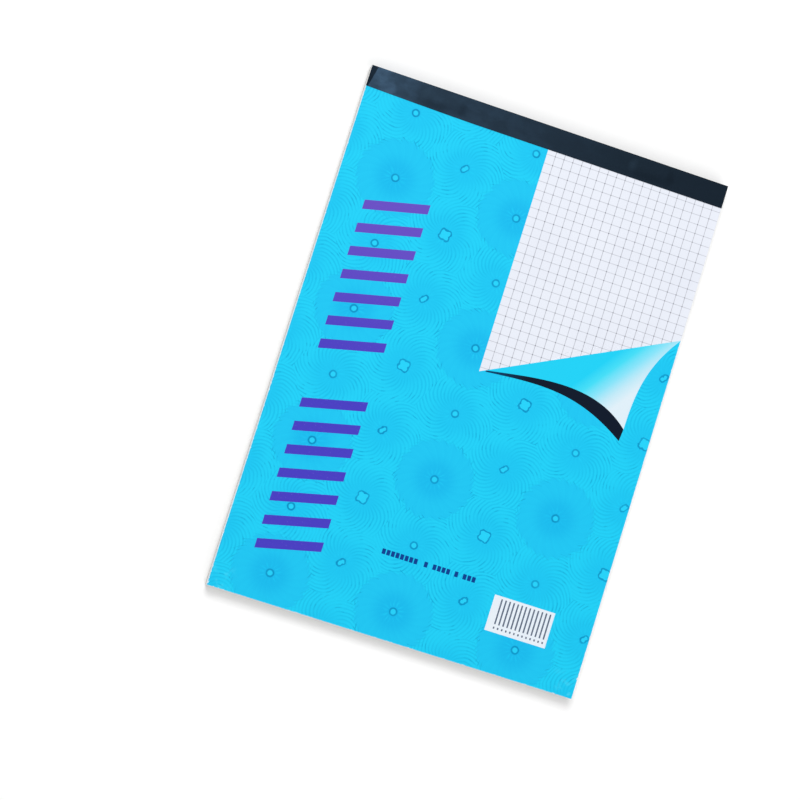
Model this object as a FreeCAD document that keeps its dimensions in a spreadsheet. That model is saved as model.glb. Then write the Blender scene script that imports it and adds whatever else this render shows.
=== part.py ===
import FreeCAD, Part
import math
import os
import Sketcher

# A5 note pad of squared sheets, bound at the head and lying flat with its cover up.
# The width runs along X, the bound head is at +Y, the foot at -Y, and +Z is up.
# The origin is under the middle of the pad, on the surface that it lies on.
# Each body has its own frame: X in the middle of the width, Y on the paper's head edge.

PARTS_FOLDER = "parts"

# Driving dimensions in millimetres, each with its name, value and meaning
DRIVING_SIZES = [
    ("page_width", 148.0, "width of the sheets, the cover and the back board"),
    ("page_length", 210.0, "length of the sheets from head to foot"),
    ("sheet_count", 75.0, "ruled sheets in the block"),
    ("sheet_thickness", 0.08, "one ruled sheet"),
    ("cover_thickness", 0.25, "printed front cover"),
    ("board_thickness", 1.0, "grey board at the back"),
    ("tape_thickness", 0.18, "binding tape with its glue"),
    ("tape_front_lap", 9.1, "tape on the front, from the head to its lower edge"),
    ("tape_back_lap", 8.6, "tape on the back, pressed flush into the board"),
    ("cover_fold_gap", 0.3, "from the tape's lower edge to the part of the cover that opens"),
    ("wire_diameter", 0.5, "staple wire"),
    ("staple_crown", 13.0, "staple across the outside of its legs"),
    ("staple_clinch", 4.0, "bent-over end of a leg, from the leg's middle line"),
    ("staple_bend", 0.3, "bend radius at the wire's middle line"),
    ("staple_spacing", 86.0, "between the middles of the two staples"),
    ("wire_clearance", 0.05, "room round the wire in its holes and grooves"),
    ("paper_under_crown", 0.05, "cover paper left under the pressed-in crown"),
    ("blister_run", 1.4, "slope of the tape from the staple down to the cover"),
]

# Levels above the surface that the pad lies on
PAGES_THICKNESS = "Sizes.sheet_count * Sizes.sheet_thickness"
BOARD_UNDERSIDE = "0"
STAPLE_UNDERSIDE = "Sizes.tape_thickness"
PAGES_UNDERSIDE = "Sizes.board_thickness"
COVER_UNDERSIDE = PAGES_UNDERSIDE + " + " + PAGES_THICKNESS
COVER_TOP = COVER_UNDERSIDE + " + Sizes.cover_thickness"
TAPE_TOP = COVER_TOP + " + Sizes.tape_thickness"

# Lines across the pad
HEAD_LINE = "(Sizes.page_length - Sizes.tape_thickness) / 2"
STAPLE_LINE = "-Sizes.tape_front_lap / 2"
HALF_WIDTH = "Sizes.page_width / 2"

# Staple, its holes and the grooves that it is pressed into
STAPLE_MIDDLE = "Sizes.staple_spacing / 2"
LEG_OFFSET = "(Sizes.staple_crown - Sizes.wire_diameter) / 2"
LEG_HOLE = "Sizes.wire_diameter + 2 * Sizes.wire_clearance"
GROOVE_LOW = STAPLE_LINE + " - Sizes.wire_diameter / 2 - Sizes.wire_clearance"
GROOVE_HIGH = STAPLE_LINE + " + Sizes.wire_diameter / 2 + Sizes.wire_clearance"
CROWN_SINK = "Sizes.cover_thickness - Sizes.paper_under_crown"
CLINCH_DEPTH = "Sizes.tape_thickness + Sizes.wire_diameter + Sizes.wire_clearance"
CLINCH_LEVEL = "Sizes.wire_diameter / 2"
CROWN_LEVEL = (
    COVER_UNDERSIDE + " + Sizes.paper_under_crown + Sizes.wire_diameter / 2 - " + STAPLE_UNDERSIDE
)
BLISTER_RISE = "Sizes.wire_diameter + Sizes.wire_clearance - (" + CROWN_SINK + ")"

# Points that a sketch dimension can hold on an edge, in the order of their codes
EDGE_POINTS = ("whole edge", "start", "end", "centre")

document = FreeCAD.newDocument("note_pad")
sizes = document.addObject("Spreadsheet::Sheet", "Sizes")


def fill_sheet():
    """Writes each driving dimension to a row of the sheet: name, value, meaning."""
    for row, (alias, value, meaning) in enumerate(DRIVING_SIZES, start=1):
        sizes.set(f"A{row}", alias)
        sizes.set(f"B{row}", str(value))
        sizes.setAlias(f"B{row}", alias)
        sizes.set(f"C{row}", meaning)
    document.recompute()


def number(expression):
    """Gives the present value of an expression in the sheet's sizes."""
    return float(sizes.evalExpression(expression))


def origin_plane(body, role):
    """Finds one of the body's own origin planes."""
    return next(item for item in body.Origin.OriginFeatures if item.Role == role)


def new_body(name, underside, across="0", down="0"):
    """Makes a body; its frame stands at a level, and may be moved across or down the pad."""
    body = document.addObject("PartDesign::Body", name)
    body.Label = name
    body.setExpression("Placement.Base.x", across)
    body.setExpression("Placement.Base.y", f"{HEAD_LINE} + {down}")
    body.setExpression("Placement.Base.z", underside)
    return body


def new_sketch(body, name, plane="XY_Plane", lift="0"):
    """Makes a sketch on an origin plane of the body, lifted along the plane's normal."""
    sketch = body.newObject("Sketcher::SketchObject", name)
    sketch.AttachmentSupport = (origin_plane(body, plane), [""])
    sketch.MapMode = "FlatFace"
    sketch.setExpression("AttachmentOffset.Base.z", lift)
    return sketch


def bind(sketch, kind, *place, to):
    """Adds a dimension to the sketch and ties it to an expression."""
    index = sketch.addConstraint(Sketcher.Constraint(kind, *place, number(to)))
    sketch.setExpression(f"Constraints[{index}]", to)


def bind_point(sketch, edge, point, across, up):
    """Ties a point of an edge to its place, counted from the sketch's origin."""
    origin = (-1, EDGE_POINTS.index("start"))
    code = EDGE_POINTS.index(point)
    bind(sketch, "DistanceX", *origin, edge, code, to=across)
    bind(sketch, "DistanceY", *origin, edge, code, to=up)


def join(sketch, edge, point, other_edge, other_point):
    """Makes two edges meet at a point of each."""
    places = (edge, EDGE_POINTS.index(point), other_edge, EDGE_POINTS.index(other_point))
    sketch.addConstraint(Sketcher.Constraint("Coincident", *places))


def outline(sketch, corners):
    """Draws a closed outline of straight edges through the given corners."""
    points = [FreeCAD.Vector(number(across), number(up)) for across, up in corners]
    first = sketch.GeometryCount
    count = len(corners)
    for corner in range(count):
        following = (corner + 1) % count
        sketch.addGeometry(Part.LineSegment(points[corner], points[following]), False)
    for corner, (across, up) in enumerate(corners):
        following = (corner + 1) % count
        join(sketch, first + corner, "end", first + following, "start")
        bind_point(sketch, first + corner, "start", across, up)


def rectangle(sketch, left, right, low, high):
    """Draws a rectangle between two pairs of lines."""
    outline(sketch, [(left, low), (right, low), (right, high), (left, high)])


def circle(sketch, across, up, diameter):
    """Draws a circle about a centre."""
    centre = FreeCAD.Vector(number(across), number(up))
    upright = FreeCAD.Vector(0, 0, 1)
    shape = Part.Circle(centre, upright, number(diameter) / 2)
    edge = sketch.addGeometry(shape, False)
    bind_point(sketch, edge, "centre", across, up)
    bind(sketch, "Diameter", edge, to=diameter)


def pad(body, name, sketch, length):
    """Raises a sketch to a solid."""
    feature = body.newObject("PartDesign::Pad", name)
    feature.Profile = sketch
    feature.setExpression("Length", length)
    return feature


def pocket(body, name, sketch, depth=None, upward=False):
    """Cuts a sketch out of the body, through everything unless a depth is given."""
    feature = body.newObject("PartDesign::Pocket", name)
    feature.Profile = sketch
    feature.Reversed = upward
    if depth is None:
        feature.Type = "ThroughAll"
    else:
        feature.setExpression("Length", depth)
    return feature


def loft(body, name, kind, base, top):
    """Joins two sketches by straight walls, as material or as a hollow."""
    feature = body.newObject("PartDesign::" + kind, name)
    feature.Profile = base
    feature.Sections = [top]
    feature.Ruled = True
    return feature


def mirror_to_left(body, features):
    """Repeats the right staple's features for the left staple."""
    mirror = body.newObject("PartDesign::Mirrored", "left_staple_features")
    mirror.Originals = features
    mirror.MirrorPlane = (origin_plane(body, "YZ_Plane"), [""])
    body.Tip = mirror


def sheet_pad(body, near, far, thickness):
    """Makes the flat stock of a sheet or a stack across the pad's whole width."""
    stock = new_sketch(body, "stock_outline")
    rectangle(stock, f"-{HALF_WIDTH}", HALF_WIDTH, f"-({far})", f"-({near})")
    pad(body, "stock", stock, thickness)


def leg_holes(body):
    """Cuts the two holes of the right staple's legs."""
    holes = new_sketch(body, "leg_hole_outline")
    for side in ("-", "+"):
        circle(holes, f"{STAPLE_MIDDLE} {side} {LEG_OFFSET}", STAPLE_LINE, LEG_HOLE)
    return pocket(body, "leg_holes", holes, upward=True)


def make_back_board():
    """Grey board with a rebate for the tape, leg holes and grooves for the clinched ends."""
    body = new_body("back_board", BOARD_UNDERSIDE)
    sheet_pad(body, "0", "Sizes.page_length", "Sizes.board_thickness")
    rebate = new_sketch(body, "tape_rebate_outline")
    rectangle(rebate, f"-{HALF_WIDTH}", HALF_WIDTH, "-Sizes.tape_back_lap", "0")
    pocket(body, "tape_rebate", rebate, "Sizes.tape_thickness", upward=True)
    holes = leg_holes(body)
    ends = new_sketch(body, "clinch_groove_outline")
    reach = "Sizes.staple_clinch + Sizes.wire_clearance"
    left_leg = f"{STAPLE_MIDDLE} - {LEG_OFFSET}"
    right_leg = f"{STAPLE_MIDDLE} + {LEG_OFFSET}"
    rectangle(ends, left_leg, f"{left_leg} + {reach}", GROOVE_LOW, GROOVE_HIGH)
    rectangle(ends, f"{right_leg} - ({reach})", right_leg, GROOVE_LOW, GROOVE_HIGH)
    grooves = pocket(body, "clinch_grooves", ends, CLINCH_DEPTH, upward=True)
    mirror_to_left(body, [holes, grooves])
    return body


def make_page_block():
    """All ruled sheets as one stack, with the staples' leg holes."""
    body = new_body("page_block", PAGES_UNDERSIDE)
    sheet_pad(body, "0", "Sizes.page_length", PAGES_THICKNESS)
    mirror_to_left(body, [leg_holes(body)])
    return body


def make_bound_edge():
    """Strip of the cover that stays under the tape, with leg holes and crown grooves."""
    body = new_body("front_cover_bound_edge", COVER_UNDERSIDE)
    sheet_pad(body, "0", "Sizes.tape_front_lap", "Sizes.cover_thickness")
    holes = leg_holes(body)
    crown = new_sketch(body, "crown_groove_outline", lift="Sizes.cover_thickness")
    left_leg = f"{STAPLE_MIDDLE} - {LEG_OFFSET}"
    right_leg = f"{STAPLE_MIDDLE} + {LEG_OFFSET}"
    rectangle(crown, left_leg, right_leg, GROOVE_LOW, GROOVE_HIGH)
    groove = pocket(body, "crown_groove", crown, CROWN_SINK)
    mirror_to_left(body, [holes, groove])
    return body


def make_front_cover():
    """Part of the cover that opens, from just below the tape to the foot."""
    body = new_body("front_cover", COVER_UNDERSIDE)
    near = "Sizes.tape_front_lap + Sizes.cover_fold_gap"
    sheet_pad(body, near, "Sizes.page_length", "Sizes.cover_thickness")
    return body


def outer_fold_edges(shape):
    """Names the two long outer edges where the tape turns round the head."""
    outside = number("Sizes.tape_thickness")
    tolerance = 1e-6
    names = []
    for index, edge in enumerate(shape.Edges, start=1):
        box = edge.BoundBox
        along_width = box.XLength > number("Sizes.page_width") - tolerance
        at_head = min(abs(box.YMin - outside), abs(box.YMax - outside)) < tolerance
        if along_width and at_head:
            names.append(f"Edge{index}")
    return names


def blister_section(body, name, level, run):
    """Draws the blister over the right staple at one level, run wider than the crown."""
    section = new_sketch(body, name, lift=level)
    half_crown = f"(Sizes.staple_crown / 2 + {run})"
    half_wire = f"(Sizes.wire_diameter / 2 + {run})"
    left = f"{STAPLE_MIDDLE} - {half_crown}"
    right = f"{STAPLE_MIDDLE} + {half_crown}"
    rectangle(section, left, right, f"{STAPLE_LINE} - {half_wire}", f"{STAPLE_LINE} + {half_wire}")
    return section


def make_binding_tape():
    """Tape round the head, with a low blister over each staple's crown."""
    body = new_body("binding_tape", "0")
    section = new_sketch(body, "tape_section", "YZ_Plane", lift=f"-{HALF_WIDTH}")
    thickness = "Sizes.tape_thickness"
    back_end = "-Sizes.tape_back_lap"
    front_end = "-Sizes.tape_front_lap"
    outline(section, [
        (back_end, "0"),
        (thickness, "0"),
        (thickness, TAPE_TOP),
        (front_end, TAPE_TOP),
        (front_end, COVER_TOP),
        ("0", COVER_TOP),
        ("0", thickness),
        (back_end, thickness),
    ])
    strip = pad(body, "strip", section, "Sizes.page_width")
    document.recompute()

    folds = body.newObject("PartDesign::Fillet", "head_folds")
    folds.Base = (strip, outer_fold_edges(strip.Shape))
    folds.setExpression("Radius", thickness)

    run = "Sizes.blister_run"
    skin = loft(
        body, "blister", "AdditiveLoft",
        blister_section(body, "blister_foot", TAPE_TOP, run),
        blister_section(body, "blister_crest", f"{TAPE_TOP} + {BLISTER_RISE}", "0"),
    )
    hollow = loft(
        body, "blister_hollow", "SubtractiveLoft",
        blister_section(body, "hollow_foot", COVER_TOP, run),
        blister_section(body, "hollow_crest", f"{COVER_TOP} + {BLISTER_RISE}", "0"),
    )
    mirror_to_left(body, [skin, hollow])
    return body


def staple_path(body):
    """Draws the wire's middle line: clinched end, leg, crown, leg and clinched end."""
    path = new_sketch(body, "wire_path", "XZ_Plane")
    bend = "Sizes.staple_bend"
    left_leg = f"-{LEG_OFFSET}"
    right_leg = LEG_OFFSET
    low_bend = f"{CLINCH_LEVEL} + {bend}"
    high_bend = f"{CROWN_LEVEL} - {bend}"
    runs = [
        ((f"{left_leg} + Sizes.staple_clinch", CLINCH_LEVEL), (f"{left_leg} + {bend}", CLINCH_LEVEL)),
        ((left_leg, low_bend), (left_leg, high_bend)),
        ((f"{left_leg} + {bend}", CROWN_LEVEL), (f"{right_leg} - {bend}", CROWN_LEVEL)),
        ((right_leg, high_bend), (right_leg, low_bend)),
        ((f"{right_leg} - {bend}", CLINCH_LEVEL), (f"{right_leg} - Sizes.staple_clinch", CLINCH_LEVEL)),
    ]
    straights = []
    for run in runs:
        start, end = (FreeCAD.Vector(number(across), number(up)) for across, up in run)
        straights.append(path.addGeometry(Part.LineSegment(start, end), False))
        for point, (across, up) in zip(("start", "end"), run):
            bind_point(path, straights[-1], point, across, up)
    bend_centres = [
        (f"{left_leg} + {bend}", low_bend),
        (f"{left_leg} + {bend}", high_bend),
        (f"{right_leg} - {bend}", high_bend),
        (f"{right_leg} - {bend}", low_bend),
    ]
    quarter = math.pi / 2
    upright = FreeCAD.Vector(0, 0, 1)
    for corner, (across, up) in enumerate(bend_centres):
        ring = Part.Circle(FreeCAD.Vector(number(across), number(up)), upright, number(bend))
        start_angle = (2 - corner) * quarter
        arc = path.addGeometry(Part.ArcOfCircle(ring, start_angle, start_angle + quarter), False)
        join(path, arc, "start", straights[corner + 1], "start")
        join(path, arc, "end", straights[corner], "end")
        bind(path, "Radius", arc, to=bend)
    return path


def make_staple(name, across):
    """One wire staple, its crown under the tape and its legs clinched into the board."""
    body = new_body(name, STAPLE_UNDERSIDE, across, STAPLE_LINE)
    path = staple_path(body)
    wire_end = f"-{LEG_OFFSET} + Sizes.staple_clinch"
    section = new_sketch(body, "wire_section", "YZ_Plane", lift=wire_end)
    circle(section, "0", CLINCH_LEVEL, "Sizes.wire_diameter")
    wire = body.newObject("PartDesign::AdditivePipe", "wire")
    wire.Profile = section
    wire.Spine = path
    return body


def check_objects(bodies):
    """Stops if any object failed or any sub-part is not a sound solid."""
    for item in document.Objects:
        if "Invalid" in item.State or "Error" in item.State:
            raise RuntimeError(f"{item.Label} failed: {item.State}")
    for body in bodies:
        if body.Shape.isNull() or not body.Shape.isValid() or not body.Shape.Solids:
            raise RuntimeError(f"{body.Label} has no sound solid")


fill_sheet()
sub_parts = [
    make_back_board(),
    make_page_block(),
    make_bound_edge(),
    make_front_cover(),
    make_binding_tape(),
    make_staple("staple_left", f"-{STAPLE_MIDDLE}"),
    make_staple("staple_right", STAPLE_MIDDLE),
]
document.recompute()
check_objects(sub_parts)

os.makedirs(PARTS_FOLDER, exist_ok=True)
for sub_part in sub_parts:
    sub_part.Shape.exportStep(f"{PARTS_FOLDER}/{sub_part.Label}.step")
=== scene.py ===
"""Looks of a stapled note pad: printed cover card, squared sheets, head tape and grey board."""

import math
import random

import bmesh
import bpy
from mathutils import Matrix, Vector, noise
from mathutils.geometry import delaunay_2d_cdt, interpolate_bezier

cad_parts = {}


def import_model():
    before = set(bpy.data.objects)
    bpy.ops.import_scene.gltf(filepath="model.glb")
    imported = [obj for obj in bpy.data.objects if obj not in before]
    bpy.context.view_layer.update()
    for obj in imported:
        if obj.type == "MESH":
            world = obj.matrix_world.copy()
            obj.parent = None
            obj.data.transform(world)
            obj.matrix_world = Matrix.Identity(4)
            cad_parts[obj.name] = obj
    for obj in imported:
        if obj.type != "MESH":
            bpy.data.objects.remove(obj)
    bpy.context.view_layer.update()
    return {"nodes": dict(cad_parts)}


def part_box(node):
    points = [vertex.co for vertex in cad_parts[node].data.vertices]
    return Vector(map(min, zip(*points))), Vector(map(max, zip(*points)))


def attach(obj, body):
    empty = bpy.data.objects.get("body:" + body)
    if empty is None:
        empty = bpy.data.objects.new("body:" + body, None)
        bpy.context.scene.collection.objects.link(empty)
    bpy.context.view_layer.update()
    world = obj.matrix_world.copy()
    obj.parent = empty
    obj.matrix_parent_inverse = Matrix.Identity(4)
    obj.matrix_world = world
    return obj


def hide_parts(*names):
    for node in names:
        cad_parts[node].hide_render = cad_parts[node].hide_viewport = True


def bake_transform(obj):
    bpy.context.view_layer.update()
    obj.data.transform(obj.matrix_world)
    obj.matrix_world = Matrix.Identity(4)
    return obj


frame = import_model()

MM = 0.001

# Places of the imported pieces

LEAF_LOW, LEAF_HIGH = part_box("front_cover")
BOUND_LOW, BOUND_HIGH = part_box("front_cover_bound_edge")
PAGES_LOW, PAGES_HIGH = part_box("page_block")
TAPE_LOW, TAPE_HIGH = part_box("binding_tape")
STAPLES = [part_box("staple_left"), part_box("staple_right")]

LEFT_EDGE = LEAF_LOW.x
HEAD_EDGE = BOUND_HIGH.y
CARD_WIDTH = (LEAF_HIGH.x - LEAF_LOW.x) / MM
CARD_LENGTH = (BOUND_HIGH.y - LEAF_LOW.y) / MM
CARD_LOW = LEAF_LOW.z
CARD_TOP = LEAF_HIGH.z
TAPE_EDGE = BOUND_LOW.y
TAPE_LAP = (HEAD_EDGE - TAPE_EDGE) / MM

# Camera: the photograph looks straight down, with the pad's head turned to the right

LOOK_FROM = Vector((-144.4, -99.6, 997.2)) * MM
LOOK_AT = Vector((-24.6, -15.3, 7.25)) * MM
HEAD_TURN = math.radians(17.59)
LENS = 117.0
SENSOR = 36.0

# Print on the cover, in millimetres from the card's left edge and down from its head

WINDOW_LEFT = 75.4
CURL_TIP = (WINDOW_LEFT, 100.1)
CURL_TOP = (CARD_WIDTH, 63.9)
# first, control and last points of the curved outlines
CURL_SIDE = (CURL_TOP, (139.0, 76.0), (136.4, 87.1), (136.5, 104.1))
CURL_FOOT = ((136.5, 104.1), (120.6, 90.0), (97.7, 95.5), (78.0, 98.9))
SHADE_FOOT = ((77.8, 99.5), (101.4, 97.0), (115.7, 96.2), (136.0, 109.0))
CURVE_STEPS = 28
# direction across the curl, and the stretch along it in which its colour turns
CURL_ACROSS = (0.798, 0.603, 0.0)
CURL_FADE_START, CURL_FADE_RUN = 25.5, 16.5
SHADE_FADE = (78.0, 96.0)

GRID_PITCH = 3.64
GRID_FIRST = (78.9, 69.2)
GRID_LINE = 0.26
GRID_DOT = 0.19
GRID_BLUR = 0.05
UPRIGHT_INK, LEVEL_INK, CROSSING_INK = 0.475, 0.36, 0.25

STRIPE_LEFT, STRIPE_RIGHT = 13.0, 38.0
STRIPE_HEADS = (44.7, 124.9)
STRIPES = 7
STRIPE_WIDTH = 3.75
STRIPE_PITCH = 9.4
STRIPE_SLANT = 6.0

DASH_ROW = 177.5
DASH_LENGTH, DASH_HEIGHT = 1.4, 2.1
DASH_PITCH = 1.85
# start of each run, and its number of dashes
DASH_RUNS = ((60.3, 8), (77.4, 1), (80.9, 4), (89.8, 1), (93.2, 3))

PANEL_LEFT, PANEL_RIGHT = 107.3, 132.1
PANEL_TOP, PANEL_FOOT = 180.3, 194.5
BARS = 13
BAR_LEFT = 110.3
BAR_WIDTH, BAR_PITCH = 0.58, 1.66
# head and foot of the bars, then of the ticks below them
BAR_ROWS = ((181.3, 191.3), (192.3, 193.1))

# Ornament behind the print: four rosettes repeat in one cell

CELL_WIDTH, CELL_LENGTH = 49.72, 53.2
DISC_CENTRE = (21.7, 38.9)
DISC_RADIUS = 15.2
ROSETTES = (
    # centre, ring radius, lobe depth, lobes, turn of the lobes
    ((21.7, 12.3), 1.3, 0.0, 1, 0.0),
    (DISC_CENTRE, 1.35, 0.0, 1, 0.0),
    ((46.5, 26.9), 1.35, 0.28, 2, 1.6),
    ((46.8, 53.9), 2.25, 0.13, 4, 2.35),
)
RING_REACH = (0.14, 0.5)
EYE_REACH = (-0.35, 0.0)
ROUND_UNEVENNESS, LOBED_UNEVENNESS = 0.35, 1.25
ARMS = 32
ARM_BEND = 0.0064
ARM_START = 3.0
ARM_FADE, STROKE_FADE = (3.0, 7.0), (7.5, 10.5)
GROUND_FADE, DISC_FADE = (1.5, 13.0), (3.0, 11.0)
PETALS = 13.0
PETAL_START, PETAL_END = (1.9, 2.6), (3.0, 5.4)
DISC_STEPS = 22
DISC_STEP_RISE = 1.1
DISC_WOBBLE = 2.0
DISC_TICKS = 46.0

SHEET_MAP = "sheet_place"
BAKE_MAP = "OFBake"


def linear(red, green, blue):
    """Linear colour of three display values from 0 to 255."""
    def channel(value):
        share = value / 255
        return share / 12.92 if share <= 0.04045 else ((share + 0.055) / 1.055) ** 2.4
    return (channel(red), channel(green), channel(blue), 1.0)


# Node trees


class Field:
    """A number, colour or direction that varies over a surface: one output of a node tree."""

    def __init__(self, tree, socket):
        self.tree = tree
        self.socket = socket

    def plug(self, target, value):
        """Links a field to an input, or sets the input to a constant."""
        if isinstance(value, Field):
            self.tree.links.new(value.socket, target)
        else:
            target.default_value = value

    def math(self, operation, *others):
        """Number worked out from this field and others."""
        node = self.tree.nodes.new("ShaderNodeMath")
        node.operation = operation
        for target, value in zip(node.inputs, (self, *others)):
            self.plug(target, value)
        return Field(self.tree, node.outputs[0])

    def vector(self, operation, *others):
        """Direction, length or product worked out from this field and others."""
        node = self.tree.nodes.new("ShaderNodeVectorMath")
        node.operation = operation
        for target, value in zip(node.inputs, (self, *others)):
            self.plug(target, value)
        output = "Value" if operation in ("LENGTH", "DOT_PRODUCT") else "Vector"
        return Field(self.tree, node.outputs[output])

    def __add__(self, other):
        return self.math("ADD", other)

    def __sub__(self, other):
        return self.math("SUBTRACT", other)

    def __mul__(self, other):
        return self.math("MULTIPLY", other)

    def inverse(self):
        """1 where this field is 0, and 0 where it is 1."""
        return (self * -1.0) + 1.0

    def step(self, low, high):
        """0 below low, 1 above high, and smooth between them."""
        node = self.tree.nodes.new("ShaderNodeMapRange")
        node.interpolation_type = "SMOOTHSTEP"
        for name, value in (("Value", self), ("From Min", low), ("From Max", high)):
            self.plug(node.inputs[name], value)
        return Field(self.tree, node.outputs["Result"])

    def parts(self):
        """The three numbers of a direction or place."""
        node = self.tree.nodes.new("ShaderNodeSeparateXYZ")
        self.plug(node.inputs[0], self)
        return [Field(self.tree, output) for output in node.outputs]

    def mix(self, first, second, kind="RGBA"):
        """first where this field is 0, second where it is 1."""
        node = self.tree.nodes.new("ShaderNodeMix")
        node.data_type = kind
        inputs = [i for i in node.inputs if i.enabled]
        for target, value in zip(inputs, (self, first, second)):
            self.plug(target, value)
        return Field(self.tree, next(o for o in node.outputs if o.enabled))

    def ramp(self, *stops):
        """Colours at shares from 0 to 1."""
        node = self.tree.nodes.new("ShaderNodeValToRGB")
        bar = node.color_ramp.elements
        while len(bar) < len(stops):
            bar.new(1.0)
        for element, (share, colour) in zip(bar, stops):
            element.position = share
            element.color = colour
        self.plug(node.inputs[0], self)
        return Field(self.tree, node.outputs["Color"])


class Finish:
    """A material with one Principled shader."""

    def __init__(self, name, roughness, specular=0.5):
        self.material = bpy.data.materials.new(name)
        self.material.use_nodes = True
        self.tree = self.material.node_tree
        self.shader = self.tree.nodes["Principled BSDF"]
        self.shader.inputs["Roughness"].default_value = roughness
        self.shader.inputs["Specular IOR Level"].default_value = specular

    def body_place(self):
        """Place on a piece that doesn't bend, in millimetres."""
        node = self.tree.nodes.new("ShaderNodeTexCoord")
        place = Field(self.tree, node.outputs["Object"])
        return place.vector("MULTIPLY", (1 / MM, 1 / MM, 1 / MM))

    def sheet_place(self):
        """Place on the card, in millimetres from its left edge and down from its head."""
        node = self.tree.nodes.new("ShaderNodeUVMap")
        node.uv_map = SHEET_MAP
        return Field(self.tree, node.outputs["UV"])

    def noise(self, place, grain, detail=2.0, stretch=(1.0, 1.0, 1.0)):
        """Noise from 0 to 1 with grains of that many millimetres."""
        node = self.tree.nodes.new("ShaderNodeTexNoise")
        node.inputs["Scale"].default_value = 1 / grain
        node.inputs["Detail"].default_value = detail
        self.tree.links.new(place.vector("MULTIPLY", stretch).socket, node.inputs["Vector"])
        return Field(self.tree, node.outputs["Fac"])

    def colour(self, field):
        self.tree.links.new(field.socket, self.shader.inputs["Base Color"])

    def roughness(self, field):
        self.tree.links.new(field.socket, self.shader.inputs["Roughness"])

    def bump(self, height, depth):
        """Relief of that many millimetres where height goes from 0 to 1."""
        node = self.tree.nodes.new("ShaderNodeBump")
        node.inputs["Distance"].default_value = depth * MM
        self.tree.links.new(height.socket, node.inputs["Height"])
        self.tree.links.new(node.outputs["Normal"], self.shader.inputs["Normal"])


# Finishes of the cover card

CARD_WHITE = linear(236, 240, 243)
SCUFF_BLUE = linear(96, 226, 249)
# how far from its rim and corners the card is rubbed, in millimetres
RUBBED_RIM, RUBBED_CORNER = (0.04, 0.19), (1.5, 12.0)

GROUND_NEAR, GROUND_FAR = linear(25, 195, 239), linear(31, 207, 245)
ARM_BLUE = linear(12, 180, 227)
STROKE_BLUE = linear(8, 160, 208)
DISC_NEAR, DISC_FAR = linear(20, 184, 235), linear(29, 198, 241)
PETAL_BLUE = linear(30, 208, 246)
EYE_BLUE = linear(38, 212, 249)
RING_BLUE = linear(0, 142, 194)


def printed_card(name):
    """Varnished print: a faint fibre under an even, low gloss."""
    finish = Finish(name, 0.5, 0.06)
    place = finish.sheet_place()
    fibre = finish.noise(place, 0.35, 3.0, (1.0, 0.6, 1.0))
    finish.roughness(finish.noise(place, 14.0) * 0.12 + 0.44)
    finish.bump(fibre, 0.004)
    return finish, place


def worn(finish, place, ink):
    """Shows the bare card in a thin line where the ink has rubbed off the card's rim."""
    across, down, _ = place.parts()
    right = across * -1.0 + CARD_WIDTH
    foot = down * -1.0 + CARD_LENGTH
    rim = across.math("MINIMUM", right).math("MINIMUM", foot)
    chips = finish.noise(place, 1.3, 3.0)
    from_corner = across.math("MINIMUM", right).math("MAXIMUM", foot)
    near_corner = from_corner.step(*RUBBED_CORNER).inverse()
    loss = chips.step(0.52, 0.75) * (near_corner * 0.4 + 0.18)
    rubbed = (rim - loss).step(*RUBBED_RIM).inverse()
    scuffs = finish.noise(place, 2.6, 4.0).step(0.5, 0.66) * near_corner * 0.35
    return (rubbed * 0.9).mix(scuffs.mix(ink, SCUFF_BLUE), CARD_WHITE)


def cell_places(finish, place):
    """Distance and angle from the nearest rosette and disc, then all rings and their eyes."""
    half = (CELL_WIDTH / 2, CELL_LENGTH / 2, 1.0)
    minus_half = (-CELL_WIDTH / 2, -CELL_LENGTH / 2, -1.0)
    uneven = finish.noise(place, 1.1, 3.0) - 0.5
    nearest = away = rings = eyes = None
    for centre, radius, depth, lobes, turn in ROSETTES:
        spot = place.vector("SUBTRACT", (*centre, 0.0)).vector("WRAP", half, minus_half)
        distance = spot.vector("LENGTH")
        across, down, _ = spot.parts()
        angle = down.math("ARCTAN2", across)
        wave = (angle * float(lobes) + turn).math("COSINE") * (depth * radius) + radius
        offset = distance - wave + uneven * (LOBED_UNEVENNESS if lobes > 1 else ROUND_UNEVENNESS)
        ring = offset.math("ABSOLUTE").step(*RING_REACH).inverse()
        eye = offset.step(*EYE_REACH).inverse()
        if nearest is None:
            nearest, away, rings, eyes = spot, distance, ring, eye
        else:
            nearest = distance.math("LESS_THAN", away).mix(nearest, spot, "VECTOR")
            away = away.math("MINIMUM", distance)
            rings = rings.math("MAXIMUM", ring)
            eyes = eyes.math("MAXIMUM", eye)
        if centre == DISC_CENTRE:
            disc = (distance, angle)
    across, down, _ = nearest.parts()
    return (away, down.math("ARCTAN2", across)), disc, rings, eyes


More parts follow.
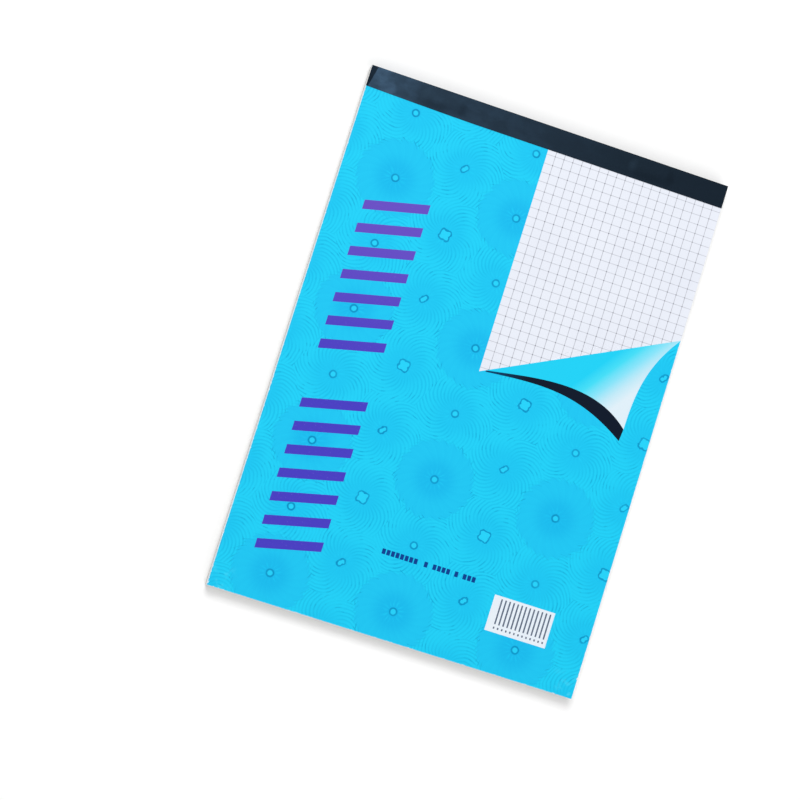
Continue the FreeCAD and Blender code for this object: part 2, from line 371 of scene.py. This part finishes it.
def rosettes(finish, place):
    """Blue of the ground with its tone-on-tone rosettes, discs and rings."""
    (away, angle), (disc_away, disc_angle), rings, eyes = cell_places(finish, place)
    wobble = finish.noise(place, 5.0, 1.0)
    patches = finish.noise(place, 9.0, 2.0).step(0.35, 0.62)
    clusters = finish.noise(place, 3.6, 2.0).step(0.54, 0.64)

    reach = away - ARM_START
    waves = ((angle - reach * reach * ARM_BEND) * float(ARMS) + wobble * 5.0).math("SINE")
    arms = waves.step(-0.3, 0.95) * away.step(*ARM_FADE) * (patches * 0.7 + 0.3)
    strokes = waves.step(0.45, 0.95) * away.step(*STROKE_FADE) * clusters
    ground = away.step(*GROUND_FADE).mix(GROUND_NEAR, GROUND_FAR)
    ground = (arms * 0.5).mix(ground, ARM_BLUE)
    ground = (strokes * 0.55).mix(ground, STROKE_BLUE)

    turns = disc_angle * (DISC_STEPS / math.tau)
    steps = (turns.math("FRACT") - 0.5) * DISC_STEP_RISE
    rim = disc_away + steps + (wobble - 0.5) * DISC_WOBBLE - DISC_RADIUS
    inside = rim.step(-0.25, 0.25).inverse()
    fan = (turns + disc_away * 0.12).math("FRACT")
    face = (disc_away.step(*DISC_FADE) * 0.8 + fan * 0.2).mix(DISC_NEAR, DISC_FAR)
    ground = inside.mix(ground, face)
    ticks = (disc_angle * DISC_TICKS + disc_away * 4.0 + wobble * 4.0).math("SINE").step(0.55, 0.95)
    ticks = ticks * rim.math("ABSOLUTE").step(0.4, 1.5).inverse() * (clusters * 0.75 + 0.25)
    ground = (ticks * 0.8).mix(ground, STROKE_BLUE)

    rays = (angle * PETALS + wobble * 9.0).math("SINE").step(-0.2, 0.9)
    petals = rays * away.step(*PETAL_START) * away.step(*PETAL_END).inverse()
    petals = petals * (wobble.step(0.35, 0.7) * 0.7 + 0.3)
    ground = (petals * 0.5).mix(ground, PETAL_BLUE)
    ground = (eyes * 0.8).mix(ground, EYE_BLUE)
    return (rings * (patches * 0.3 + 0.7)).mix(ground, RING_BLUE)


def ground_finish():
    """Blue ground with its ornament."""
    finish, place = printed_card("cover_ground")
    finish.colour(worn(finish, place, rosettes(finish, place)))
    return finish.material


def line_distance(coordinate, first):
    """Distance to the nearest ruled line, in millimetres."""
    half = GRID_PITCH / 2
    return (coordinate - first).math("WRAP", half, -half).math("ABSOLUTE")


def inked(gap, reach):
    """1 nearer to a line than reach, and 0 beyond it."""
    return gap.step(reach - GRID_BLUR, reach + GRID_BLUR).inverse()


def window_finish():
    """White field with a printed square ruling."""
    finish, place = printed_card("cover_window")
    across, down, _ = place.parts()
    column, row = line_distance(across, GRID_FIRST[0]), line_distance(down, GRID_FIRST[1])
    upright, level = inked(column, GRID_LINE / 2), inked(row, GRID_LINE / 2)
    crossing = inked(column.math("MAXIMUM", row), GRID_DOT)
    uneven = finish.noise(place, 1.6, 2.0).step(0.2, 0.7) * 0.35 + 0.65
    paper = finish.noise(place, 30.0).mix(linear(227, 231, 242), linear(236, 240, 249))
    lines = upright * UPRIGHT_INK + level * LEVEL_INK + crossing * CROSSING_INK
    ruled = (lines * uneven).mix(paper, linear(66, 61, 74))
    finish.colour(worn(finish, place, ruled))
    return finish.material


def curl_finish():
    """Page curl: blue along its fold, turning to white towards the corner that hangs free."""
    finish, place = printed_card("cover_curl")
    along = place.vector("SUBTRACT", (*CURL_TIP, 0.0)).vector("DOT_PRODUCT", CURL_ACROSS)
    stops = (
        (0.0, linear(30, 207, 243)),
        (0.25, linear(68, 219, 244)),
        (0.5, linear(134, 225, 246)),
        (0.75, linear(192, 231, 245)),
        (1.0, linear(222, 237, 246)),
    )
    share = (along - CURL_FADE_START) * (1 / CURL_FADE_RUN)
    finish.colour(worn(finish, place, share.ramp(*stops)))
    return finish.material


def shade_finish():
    """Shadow under the curl."""
    finish, place = printed_card("cover_curl_shade")
    across, _, _ = place.parts()
    finish.colour(across.step(*SHADE_FADE).mix(linear(4, 62, 102), linear(4, 17, 36)))
    return finish.material


def stripe_finish():
    """Violet of the slanted stripes, slightly scuffed."""
    finish, place = printed_card("cover_stripes")
    _, down, _ = place.parts()
    ink = down.step(*STRIPE_HEADS).mix(linear(103, 77, 192), linear(72, 61, 191))
    scuffs = finish.noise(place, 0.8, 3.0).step(0.6, 0.8) * 0.35
    finish.colour(scuffs.mix(ink, linear(132, 112, 212)))
    return finish.material


def ink_finish():
    """Dark blue of the row of dashes."""
    finish, place = printed_card("cover_ink")
    finish.colour(finish.noise(place, 0.7, 3.0).mix(linear(2, 54, 132), linear(12, 70, 148)))
    return finish.material


def panel_finish():
    """White of the small panel."""
    finish, place = printed_card("cover_panel")
    finish.colour(finish.noise(place, 6.0, 3.0).mix(linear(225, 235, 246), linear(236, 243, 249)))
    return finish.material


def panel_ink_finish():
    """Grey of the panel's bars and ticks."""
    finish, place = printed_card("cover_panel_ink")
    finish.colour(finish.noise(place, 0.6, 3.0).mix(linear(72, 84, 108), linear(98, 112, 134)))
    return finish.material


def card_inside_finish():
    """Uncoated inner side and cut rim of the card."""
    finish = Finish("cover_inside", 0.85, 0.3)
    place = finish.sheet_place()
    pulp = finish.noise(place, 0.6, 4.0)
    cloud = finish.noise(place, 18.0, 2.0)
    tone = (pulp * 0.5 + cloud * 0.5).mix(linear(222, 224, 222), linear(241, 242, 240))
    finish.colour(tone)
    finish.bump(pulp, 0.01)
    return finish.material


# Cover card


def on_card(place):
    """Point in the frame's plane for a place on the card."""
    return Vector((LEFT_EDGE + place[0] * MM, HEAD_EDGE - place[1] * MM))


def box_outline(left, head, right, foot):
    """Corners of a box on the card."""
    return [(left, head), (right, head), (right, foot), (left, foot)]


def bend(points):
    """Points along a curve through its first and last point."""
    return [tuple(p) for p in interpolate_bezier(*[Vector(p) for p in points], CURVE_STEPS)]


def stripes():
    """Two groups of slanted stripes."""
    for head in STRIPE_HEADS:
        for number in range(STRIPES):
            top = head + number * STRIPE_PITCH
            low = top + STRIPE_SLANT
            yield [
                (STRIPE_RIGHT, top), (STRIPE_RIGHT, top + STRIPE_WIDTH),
                (STRIPE_LEFT, low + STRIPE_WIDTH), (STRIPE_LEFT, low),
            ]


def dashes():
    """Runs of short dashes in one row."""
    head, foot = DASH_ROW - DASH_HEIGHT / 2, DASH_ROW + DASH_HEIGHT / 2
    for start, count in DASH_RUNS:
        for number in range(count):
            left = start + number * DASH_PITCH
            yield box_outline(left, head, left + DASH_LENGTH, foot)


def bars():
    """Even bars on the white panel, with a row of ticks below them."""
    for head, foot in BAR_ROWS:
        for number in range(BARS):
            left = BAR_LEFT + number * BAR_PITCH
            yield box_outline(left, head, left + BAR_WIDTH, foot)


# Numbers of the card's finishes, in the order of its materials

GROUND, WINDOW, CURL, SHADE, STRIPE, DASH, PANEL, BAR, CARD_INSIDE = range(9)


def printed_fields():
    """Outlines of the print with the number of their finish, each lying over those before it."""
    curl_foot = bend(CURL_FOOT)
    fields = [([(WINDOW_LEFT, 0.0), CURL_TIP, CURL_TOP, (CARD_WIDTH, 0.0)], WINDOW)]
    fields.append((bend(CURL_SIDE) + curl_foot[1:], CURL))
    fields.append((curl_foot + bend(SHADE_FOOT), SHADE))
    fields += [(outline, STRIPE) for outline in stripes()]
    fields += [(outline, DASH) for outline in dashes()]
    fields.append((box_outline(PANEL_LEFT, PANEL_TOP, PANEL_RIGHT, PANEL_FOOT), PANEL))
    return fields + [(outline, BAR) for outline in bars()]


# Fold and free corners of the card, in millimetres

FOLD_LENGTH = 1.4
FOLD_ROWS = 10
CARD_GRID = 9.0
SMALLEST_GAP = 1e-4
LIFT_START = 60.0
CORNER_LIFT = 0.3


def holds(outline, point):
    """True if a closed outline holds the point."""
    inside = False
    for (ax, ay), (bx, by) in zip(outline, outline[1:] + outline[:1]):
        if (ay > point[1]) != (by > point[1]):
            crossing = ax + (point[1] - ay) * (bx - ax) / (by - ay)
            if point[0] < crossing:
                inside = not inside
    return inside


def card_triangles(fields):
    """Triangles of the card's face that keep to the print's outlines and the fold's rows."""
    places, edges = [], []

    def add(outline, closed=True):
        """Adds the places and edges of an outline."""
        first = len(places)
        places.extend(outline)
        edges.extend((i, i + 1) for i in range(first, len(places) - 1))
        if closed:
            edges.append((len(places) - 1, first))

    add(box_outline(0.0, 0.0, CARD_WIDTH, CARD_LENGTH))
    for outline, _ in fields:
        add(outline)
    for row in range(FOLD_ROWS + 1):
        down = TAPE_LAP + FOLD_LENGTH * row / FOLD_ROWS
        add([(0.0, down), (CARD_WIDTH, down)], closed=False)
    columns, rows = round(CARD_WIDTH / CARD_GRID), round(CARD_LENGTH / CARD_GRID)
    for column in range(columns + 1):
        for row in range(2, rows + 1):
            places.append((CARD_WIDTH * column / columns, CARD_LENGTH * row / rows))
    made = delaunay_2d_cdt([Vector(p) for p in places], edges, [], 0, SMALLEST_GAP)
    return [tuple(p) for p in made[0]], made[2]


def card_lift(across, down):
    """How far the card's free corners stand off the sheets, in millimetres."""
    far = max(0.0, (down - LIFT_START) / (CARD_LENGTH - LIFT_START))
    outer = 2 * across / CARD_WIDTH - 1
    return CORNER_LIFT * far ** 2 * outer ** 2


# Places of the card's faces and rim on the map that its looks are stored through

FACE_SHARE = 0.86
RIM_START, RIM_PITCH, RIM_WIDTH = 0.866, 0.006, 0.004
INSIDE_START, INSIDE_SHARE = 0.895, 0.1


def card_bake_place(side, across, down, low):
    """Place of a card corner on the map that the print is stored through."""
    u, v = across / CARD_WIDTH, 1 - down / CARD_LENGTH
    if side == "face":
        return u * FACE_SHARE, v
    if side == "inside":
        return INSIDE_START + u * INSIDE_SHARE, v
    column = ("left", "right", "head", "foot").index(side)
    along = v if side in ("left", "right") else u
    return RIM_START + column * RIM_PITCH + low * RIM_WIDTH, along


def rim_side(middle_across, middle_down):
    """Name of the card's side that a place on its rim lies on."""
    gaps = {
        "left": middle_across,
        "right": CARD_WIDTH - middle_across,
        "head": middle_down,
        "foot": CARD_LENGTH - middle_down,
    }
    return min(gaps, key=gaps.get)


def finish_mesh(name, mesh, materials, crease=40.0):
    """Object of a bmesh, smooth except at its creases."""
    bmesh.ops.recalc_face_normals(mesh, faces=mesh.faces[:])
    for face in mesh.faces:
        face.smooth = True
    data = bpy.data.meshes.new(name)
    mesh.to_mesh(data)
    mesh.free()
    data.set_sharp_from_angle(angle=math.radians(crease))
    for material in materials:
        data.materials.append(material)
    piece = bpy.data.objects.new(name, data)
    bpy.context.scene.collection.objects.link(piece)
    return piece


def cover_sheet():
    """The whole cover as one card, from the head under the tape to the foot."""
    fields = printed_fields()
    places, triangles = card_triangles(fields)
    mesh = bmesh.new()
    sheet_map = mesh.loops.layers.uv.new(SHEET_MAP)
    bake_map = mesh.loops.layers.uv.new(BAKE_MAP)
    spots = [on_card(p) for p in places]
    lifts = [card_lift(*p) * MM for p in places]
    top = [mesh.verts.new((*s, CARD_TOP + lift)) for s, lift in zip(spots, lifts)]
    low = [mesh.verts.new((*s, CARD_LOW + lift)) for s, lift in zip(spots, lifts)]
    place_of = {v: p for corners in (top, low) for v, p in zip(corners, places)}
    lower = set(low)

    def add(corners, finish, side):
        """Adds a face with its finish and its places on both maps."""
        face = mesh.faces.new(corners)
        face.material_index = finish
        for loop in face.loops:
            across, down = place_of[loop.vert]
            loop[sheet_map].uv = (across, down)
            loop[bake_map].uv = card_bake_place(side, across, down, loop.vert in lower)

    runs = set()
    for triangle in triangles:
        middle = [sum(places[i][axis] for i in triangle) / 3 for axis in (0, 1)]
        finish = next((f for outline, f in reversed(fields) if holds(outline, middle)), GROUND)
        add([top[i] for i in triangle], finish, "face")
        add([low[i] for i in reversed(triangle)], CARD_INSIDE, "inside")
        runs.update(zip(triangle, (*triangle[1:], triangle[0])))
    for a, b in sorted(r for r in runs if r[::-1] not in runs):
        middle = [(places[a][axis] + places[b][axis]) / 2 for axis in (0, 1)]
        add((low[a], low[b], top[b], top[a]), CARD_INSIDE, rim_side(*middle))
    materials = [
        ground_finish(), window_finish(), curl_finish(), shade_finish(), stripe_finish(),
        ink_finish(), panel_finish(), panel_ink_finish(), card_inside_finish(),
    ]
    piece = finish_mesh("cover_sheet", mesh, materials)
    middle = (CARD_TOP + CARD_LOW) / 2
    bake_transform(piece)
    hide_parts("front_cover", "front_cover_bound_edge")


# Squared sheets, with lengths in millimetres

SHEETS = 75
RULING_PITCH = 5.0
RULING_LINE = 0.22
RULING_BLUR = 0.04
EDGE_SEED = 11
EDGE_RAGGEDNESS = 0.07
EDGE_START, EDGE_STEP = 0.3, 0.35
SIDE_STEPS = 30

# Places of the stack's sides and underside on the map that its looks are stored through

SIDE_MAP_START, SIDE_MAP_PITCH, SIDE_MAP_GAP = 0.868, 0.026, 0.004
UNDERSIDE_MAP_START, UNDERSIDE_MAP_SHARE = 0.976, 0.02


def page_finish():
    """White writing paper with a grey-violet square ruling and cut edges that show each sheet."""
    finish = Finish("page_paper", 0.8, 0.3)
    place = finish.body_place()
    across, along, up = place.parts()
    half = RULING_PITCH / 2
    lines = None
    for coordinate in (across, along - HEAD_EDGE / MM):
        gap = coordinate.math("WRAP", half, -half).math("ABSOLUTE")
        line = gap.step(RULING_LINE / 2 - RULING_BLUR, RULING_LINE / 2 + RULING_BLUR).inverse()
        lines = line if lines is None else lines.math("MAXIMUM", line)
    top = PAGES_HIGH.z / MM
    on_top = up.step(top - 0.03, top - 0.01)
    pulp = finish.noise(place, 0.5, 4.0)
    paper = pulp.mix(linear(232, 234, 236), linear(245, 246, 247))
    sheet_shade = finish.noise(place, 1.0, 3.0, (0.02, 0.02, 9.0))
    edge = sheet_shade.step(0.3, 0.7).mix(linear(222, 223, 222), linear(249, 249, 248))
    ruled = (lines * 0.85).mix(paper, linear(150, 142, 168))
    finish.colour(on_top.mix(edge, ruled))
    finish.bump(pulp, 0.012)
    return finish.material


def stack_rings(mesh):
    """Rims of all sheets from the lowest up, whose cut edges stand slightly in and out."""
    chance = random.Random(EDGE_SEED)
    left, right = PAGES_LOW.x, PAGES_HIGH.x
    foot, head = PAGES_LOW.y, PAGES_HIGH.y
    thickness = (PAGES_HIGH.z - PAGES_LOW.z) / SHEETS
    walk = [EDGE_START] * 3
    rings = []
    for number in range(SHEETS):
        for side in range(3):
            walk[side] = min(1.0, max(0.0, walk[side] + chance.uniform(-EDGE_STEP, EDGE_STEP)))
        back = [w * EDGE_RAGGEDNESS * MM for w in walk]
        low = PAGES_LOW.z + number * thickness
        for z in (low, low + thickness):
            corners = [
                (left + back[0], foot + back[1]), (right - back[2], foot + back[1]),
                (right - back[2], head), (left + back[0], head),
            ]
            ring = []
            for (ax, ay), (bx, by) in zip(corners, corners[1:] + corners[:1]):
                for step in range(SIDE_STEPS):
                    share = step / SIDE_STEPS
                    place = (ax + (bx - ax) * share, ay + (by - ay) * share, z)
                    ring.append(mesh.verts.new(place))
            rings.append(ring)
    return rings


def sheet_stack():
    """The sheets as one closed stack."""
    mesh = bmesh.new()
    bake_map = mesh.loops.layers.uv.new(BAKE_MAP)
    rings = stack_rings(mesh)
    count = len(rings[0])
    width = SIDE_MAP_PITCH - SIDE_MAP_GAP
    for level, (lower, upper) in enumerate(zip(rings, rings[1:])):
        for i in range(count):
            j = (i + 1) % count
            face = mesh.faces.new((lower[i], lower[j], upper[j], upper[i]))
            side, step = divmod(i, SIDE_STEPS)
            start = SIDE_MAP_START + side * SIDE_MAP_PITCH
            u0, u1 = (start + width * k / (len(rings) - 1) for k in (level, level + 1))
            v0, v1 = step / SIDE_STEPS, (step + 1) / SIDE_STEPS
            for loop, uv in zip(face.loops, ((u0, v0), (u0, v1), (u1, v1), (u1, v0))):
                loop[bake_map].uv = uv
    top = (rings[-1], 0.0, FACE_SHARE)
    underside = (rings[0][::-1], UNDERSIDE_MAP_START, UNDERSIDE_MAP_SHARE)
    for ring, start, share in (top, underside):
        face = mesh.faces.new(ring)
        for loop in face.loops:
            across = (loop.vert.co.x - PAGES_LOW.x) / (PAGES_HIGH.x - PAGES_LOW.x)
            along = (loop.vert.co.y - PAGES_LOW.y) / (PAGES_HIGH.y - PAGES_LOW.y)
            loop[bake_map].uv = (start + across * share, along)
    piece = finish_mesh("sheet_stack", mesh, [page_finish()], crease=20.0)
    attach(piece, "pad")
    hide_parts("page_block")


# Head tape, with lengths in millimetres

SHELL = 0.16
FOLD_RADIUS = 0.18
CREST_WIDTH, CREST_DEPTH = 12.0, 0.5
BLISTER_RISE, BLISTER_RUN = 0.17, 3.9
BACK_LAP = 8.6
COARSE, FINE = 1.6, 0.35
FINE_END = 3.5
SMALLEST_STEP = 1e-6
FOLD_STEPS, WALL_STEPS, BACK_STEPS = 6, 10, 8
CORNER_DROP = 0.19
# widths of the pressed-down strip at the tape's left end, at the head and at the lap, then the soft
# edge of its painted shade
CREASE_HEAD, CREASE_LAP = 2.6, 0.6
CREASE_RIM = (-0.15, 0.1)
LAP_TAPER, TAPER_END, TAPER_POWER = 0.8, 45.0, 1.3
RIPPLE_DEPTH = 0.02
RIPPLE_ALONG, RIPPLE_AROUND = 0.11, 0.45
RIPPLE_START = 3.0
# stretches from the tape's left end over which its painted sheen fades, in millimetres
PAINTED_SHEEN_END, PAINTED_SHEEN_RUN = (7.0, 24.0), (35.0, 120.0)
SHEEN = (0.35, 0.65, 1.0, 1.0)


def tape_finish():
    """Dark plastic tape with a soft, bluish sheen, drawn out in streaks along its length, coloured
    lighter towards its left end as a painted sheen and darker on its pressed-down left corner as
    painted shade.
    """
    finish = Finish("head_tape", 0.3, 0.18)
    finish.shader.inputs["Specular Tint"].default_value = SHEEN
    place = finish.body_place()
    across, along, _ = place.parts()
    from_left = across - TAPE_LOW.x / MM
    width = (along - TAPE_EDGE / MM) * ((CREASE_HEAD - CREASE_LAP) / TAPE_LAP) + CREASE_LAP
    # painted shade: the pressed-down strip along the tape's left end is coloured darker; the same
    # mask makes it rougher
    crease_shade_and_matte = (from_left - width).step(*CREASE_RIM).inverse()
    streaks = finish.noise(place, 3.0, 3.0, (0.35, 1.0, 1.0))
    grain = finish.noise(place, 0.5, 3.0)
    tone = (streaks * 0.7 + grain * 0.3).mix(linear(4, 7, 12), linear(10, 15, 24))
    # painted sheen: lighter slate towards the tape's left end, mottled by noise, stands in for the
    # reflection of the light
    sheen_mottle = finish.noise(place, 4.5, 4.0, (0.7, 1.0, 1.0)).step(0.36, 0.66)
    end_sheen = from_left.step(*PAINTED_SHEEN_END).inverse() * 0.75
    long_sheen = from_left.step(*PAINTED_SHEEN_RUN).inverse() * 0.25
    tone = ((end_sheen + long_sheen) * (sheen_mottle * 0.55 + 0.45)).mix(tone, linear(52, 74, 96))
    # painted shade over the pressed-down left corner, laid over the painted sheen
    finish.colour((crease_shade_and_matte * 0.8).mix(tone, linear(4, 6, 10)))
    finish.roughness(streaks * 0.12 + crease_shade_and_matte * 0.35 + 0.32)
    finish.bump(streaks * 0.7 + grain * 0.3, 0.01)
    return finish.material


def tape_stations():
    """Places along the tape, closer together over the staples and at the ends."""
    left, right = TAPE_LOW.x / MM, TAPE_HIGH.x / MM
    reach = CREST_WIDTH / 2 + BLISTER_RUN
    fine_spans = [(left, left + FINE_END), (right - FINE_END, right)]
    for low, high in STAPLES:
        middle = (low.x + high.x) / 2 / MM
        fine_spans.append((middle - reach, middle + reach))
    stations = [left]
    while stations[-1] < right - SMALLEST_STEP:
        here = stations[-1]
        near = any(a - COARSE < here < b for a, b in fine_spans)
        stations.append(min(right, here + (FINE if near else COARSE)))
    return stations


def tape_profile():
    """Outer line of the tape from its front edge over the head to its back edge, with normals."""
    top, low = CARD_TOP / MM + FOLD_RADIUS, TAPE_LOW.z / MM
    head, inner = TAPE_HIGH.y / MM, TAPE_HIGH.y / MM - FOLD_RADIUS
    front, back = TAPE_EDGE / MM, HEAD_EDGE / MM - BACK_LAP
    wall_top, wall_low = top - FOLD_RADIUS, low + FOLD_RADIUS

    def rounded(level, turn):
        """Place and normal at a turn of the round fold whose centre is at that level."""
        normal = (math.cos(turn), math.sin(turn))
        return (inner + FOLD_RADIUS * normal[0], level + FOLD_RADIUS * normal[1]), normal

    quarter = math.pi / 2
    lap_steps = round((inner - front) / FINE)
    line = [((front + (inner - front) * k / lap_steps, top), (0, 1)) for k in range(lap_steps)]
    line += [rounded(wall_top, quarter * (1 - k / FOLD_STEPS)) for k in range(FOLD_STEPS + 1)]
    for k in range(1, WALL_STEPS):
        line.append(((head, wall_top + (wall_low - wall_top) * k / WALL_STEPS), (1, 0)))
    line += [rounded(wall_low, -quarter * k / FOLD_STEPS) for k in range(FOLD_STEPS + 1)]
    for k in range(1, BACK_STEPS + 1):
        line.append(((inner + (back - inner) * k / BACK_STEPS, low), (0, -1)))
    return line


def smooth(value):
    """Goes softly from 0 to 1."""
    value = min(1.0, max(0.0, value))
    return value * value * (3 - 2 * value)


def blister(across, along):
    """Height of the tape over the staples' crowns, in millimetres."""
    height = 0.0
    for low, high in STAPLES:
        middle = (low + high) / 2 / MM
        beside = max(0.0, abs(across - middle.x) - CREST_WIDTH / 2)
        before = max(0.0, abs(along - middle.y) - CREST_DEPTH / 2)
        height = max(height, BLISTER_RISE * (1 - smooth(math.hypot(beside, before) / BLISTER_RUN)))
    return height


def corner_drop(across, along):
    """How far the tape is pressed down along its left end, most at the head's corner."""
    share = min(1.0, (along - TAPE_EDGE / MM) / TAPE_LAP)
    width = CREASE_LAP + (CREASE_HEAD - CREASE_LAP) * share
    return CORNER_DROP * share ** 0.5 * (1 - min(1.0, (across - TAPE_LOW.x / MM) / width))


def lap_taper(across):
    """How far the tape's front edge draws back towards the left end, in millimetres."""
    return LAP_TAPER * (1 - min(1.0, (across - TAPE_LOW.x / MM) / TAPER_END)) ** TAPER_POWER


def ripple(across, along, up):
    """Faint unevenness of a hand-laid tape, never above the flat face, in millimetres."""
    place = Vector((across * RIPPLE_ALONG, along * RIPPLE_AROUND, up * RIPPLE_AROUND))
    return -RIPPLE_DEPTH * (0.5 + 0.5 * noise.noise(place))


def tape_section(mesh, profile, across):
    """Closed ring of the shell at one place along the tape."""
    outer, inner = [], []
    for (along, up), (out_y, out_z) in profile:
        raised = sunk = 0.0
        if out_z > 0.5:
            along += lap_taper(across) * (HEAD_EDGE / MM - along) / TAPE_LAP
            raised = blister(across, along) - corner_drop(across, along)
            rippled = smooth((across - TAPE_LOW.x / MM) / RIPPLE_START)
            raised += ripple(across, along, 0.0) * rippled
        if out_y > 0.5:
            sunk = ripple(across, 0.0, up)
        y, z = along + sunk, up + raised
        outer.append(mesh.verts.new(Vector((across, y, z)) * MM))
        y, z = y - out_y * SHELL, z - out_z * SHELL
        inner.append(mesh.verts.new(Vector((across, y, z)) * MM))
    return outer + inner[::-1]


def head_tape():
    """Tape round the head, a thin shell with soft folds and blisters over the staples."""
    mesh = bmesh.new()
    profile = tape_profile()
    sections = [tape_section(mesh, profile, across) for across in tape_stations()]
    count = len(sections[0])
    for here, there in zip(sections, sections[1:]):
        for i in range(count):
            j = (i + 1) % count
            mesh.faces.new((here[i], here[j], there[j], there[i]))
    half = count // 2
    for section, flip in ((sections[0], False), (sections[-1], True)):
        for i in range(half - 1):
            corners = (section[i], section[i + 1], section[count - 2 - i], section[count - 1 - i])
            mesh.faces.new(corners[::-1] if flip else corners)
    piece = finish_mesh("head_tape", mesh, [tape_finish()], crease=50.0)
    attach(piece, "pad")
    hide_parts("binding_tape")


# Board and staples keep their packed form


def board_finish():
    """Recycled grey board: a mottled pulp with darker and lighter flecks."""
    finish = Finish("grey_board", 0.9, 0.25)
    place = finish.body_place()
    cloud = finish.noise(place, 9.0, 4.0)
    pulp = finish.noise(place, 0.6, 5.0)
    flecks = finish.noise(place, 0.45, 1.0, (1.0, 0.35, 1.0)).step(0.68, 0.78)
    specks = finish.noise(place, 0.7, 1.0, (0.3, 1.0, 1.0)).step(0.7, 0.8)
    tone = (cloud * 0.4 + pulp * 0.6).mix(linear(140, 136, 128), linear(182, 177, 168))
    tone = (flecks * 0.55).mix(tone, linear(92, 88, 84))
    finish.colour((specks * 0.5).mix(tone, linear(214, 210, 202)))
    finish.bump(pulp, 0.03)
    return finish.material


def wire_finish():
    """Galvanised wire with fine drawing marks."""
    finish = Finish("staple_wire", 0.3)
    finish.shader.inputs["Metallic"].default_value = 1.0
    place = finish.body_place()
    marks = finish.noise(place, 0.12, 3.0, (0.1, 1.0, 1.0))
    finish.colour(marks.mix(linear(176, 178, 182), linear(206, 208, 212)))
    finish.roughness(marks * 0.2 + 0.22)
    finish.bump(marks, 0.004)
    return finish.material


def dress(node, material):
    """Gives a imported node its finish."""
    data = frame["nodes"][node].data
    data.materials.clear()
    data.materials.append(material)


# Floor, light and camera, with sizes in metres

FLOOR_SIZE = 6.0
FLOOR_GAP = 0.00005
FLOOR_GLOW = 0.05
# where the fade starts and ends, in the millimetres of a finish's place
FLOOR_FADE = (350.0, 900.0)
FLOOR_TONES = ((0.94, 0.94, 0.94, 1.0), (0.96, 0.96, 0.96, 1.0))
WHITE, BLACK = (1.0, 1.0, 1.0, 1.0), (0.0, 0.0, 0.0, 1.0)
AMBIENT = 0.47
# place, size and power of each soft light
KEY = (Vector((-0.2, 0.5, 1.15)), 0.6, 8.2)
FILL = (Vector((0.7, -0.8, 1.2)), 1.2, 5.0)


def seen(tree):
    """1 for what the camera sees, directly or mirrored, and 0 for light that spreads."""
    path = tree.nodes.new("ShaderNodeLightPath")
    share = Field(tree, path.outputs["Is Camera Ray"])
    for name in ("Is Glossy Ray", "Is Transmission Ray"):
        share = share.math("MAXIMUM", Field(tree, path.outputs[name]))
    return share


def floor():
    """White paper ground that keeps the shadow and fades into the surround."""
    finish = Finish("floor_paper", 0.9, 0.1)
    place = finish.body_place()
    paper = finish.noise(place, 60.0).mix(*FLOOR_TONES)
    share = seen(finish.tree)
    far = place.vector("LENGTH").step(*FLOOR_FADE) * share
    finish.colour(far.mix(share.mix(paper, WHITE), BLACK))
    finish.shader.inputs["Emission Color"].default_value = WHITE
    glow = far.mix(share * FLOOR_GLOW, 1.0, "FLOAT")
    finish.tree.links.new(glow.socket, finish.shader.inputs["Emission Strength"])
    mesh = bmesh.new()
    bmesh.ops.create_grid(mesh, x_segments=4, y_segments=4, size=FLOOR_SIZE / 2)
    piece = finish_mesh("floor", mesh, [finish.material])
    piece.location.z = -FLOOR_GAP


def world():
    """Even white surround: soft as light, plain white where it is seen or mirrored."""
    made = bpy.data.worlds.new("surround")
    made.use_nodes = True
    tree = made.node_tree
    strength = seen(tree).mix(AMBIENT, 1.0, "FLOAT")
    background = tree.nodes["Background"]
    background.inputs["Color"].default_value = WHITE
    tree.links.new(strength.socket, background.inputs["Strength"])
    bpy.context.scene.world = made


def soft_light(name, place, size, power):
    """Square lamp turned towards the pad."""
    lamp = bpy.data.lights.new(name, "AREA")
    lamp.shape = "SQUARE"
    lamp.size = size
    lamp.energy = power
    light = bpy.data.objects.new(name, lamp)
    light.location = place
    light.rotation_euler = (-place).to_track_quat("-Z", "Y").to_euler()
    bpy.context.scene.collection.objects.link(light)


def camera():
    """Camera above the pad, with its picture turned to the pad's head."""
    lens = bpy.data.cameras.new("view")
    lens.lens = LENS
    lens.sensor_width = SENSOR
    back = (LOOK_FROM - LOOK_AT).normalized()
    lean = Vector((-math.sin(HEAD_TURN), math.cos(HEAD_TURN), 0.0))
    right = lean.cross(back).normalized()
    up = back.cross(right)
    turned = Matrix((right, up, back)).transposed().to_4x4()
    made = bpy.data.objects.new("view", lens)
    made.matrix_world = Matrix.Translation(LOOK_FROM) @ turned
    bpy.context.scene.collection.objects.link(made)
    bpy.context.scene.camera = made


camera()
cover_sheet()
sheet_stack()
head_tape()
dress("back_board", board_finish())
steel = wire_finish()
dress("staple_left", steel)
dress("staple_right", steel)
floor()
world()
soft_light("key_light", *KEY)
soft_light("fill_light", *FILL)
bpy.context.scene.view_settings.view_transform = "Standard"
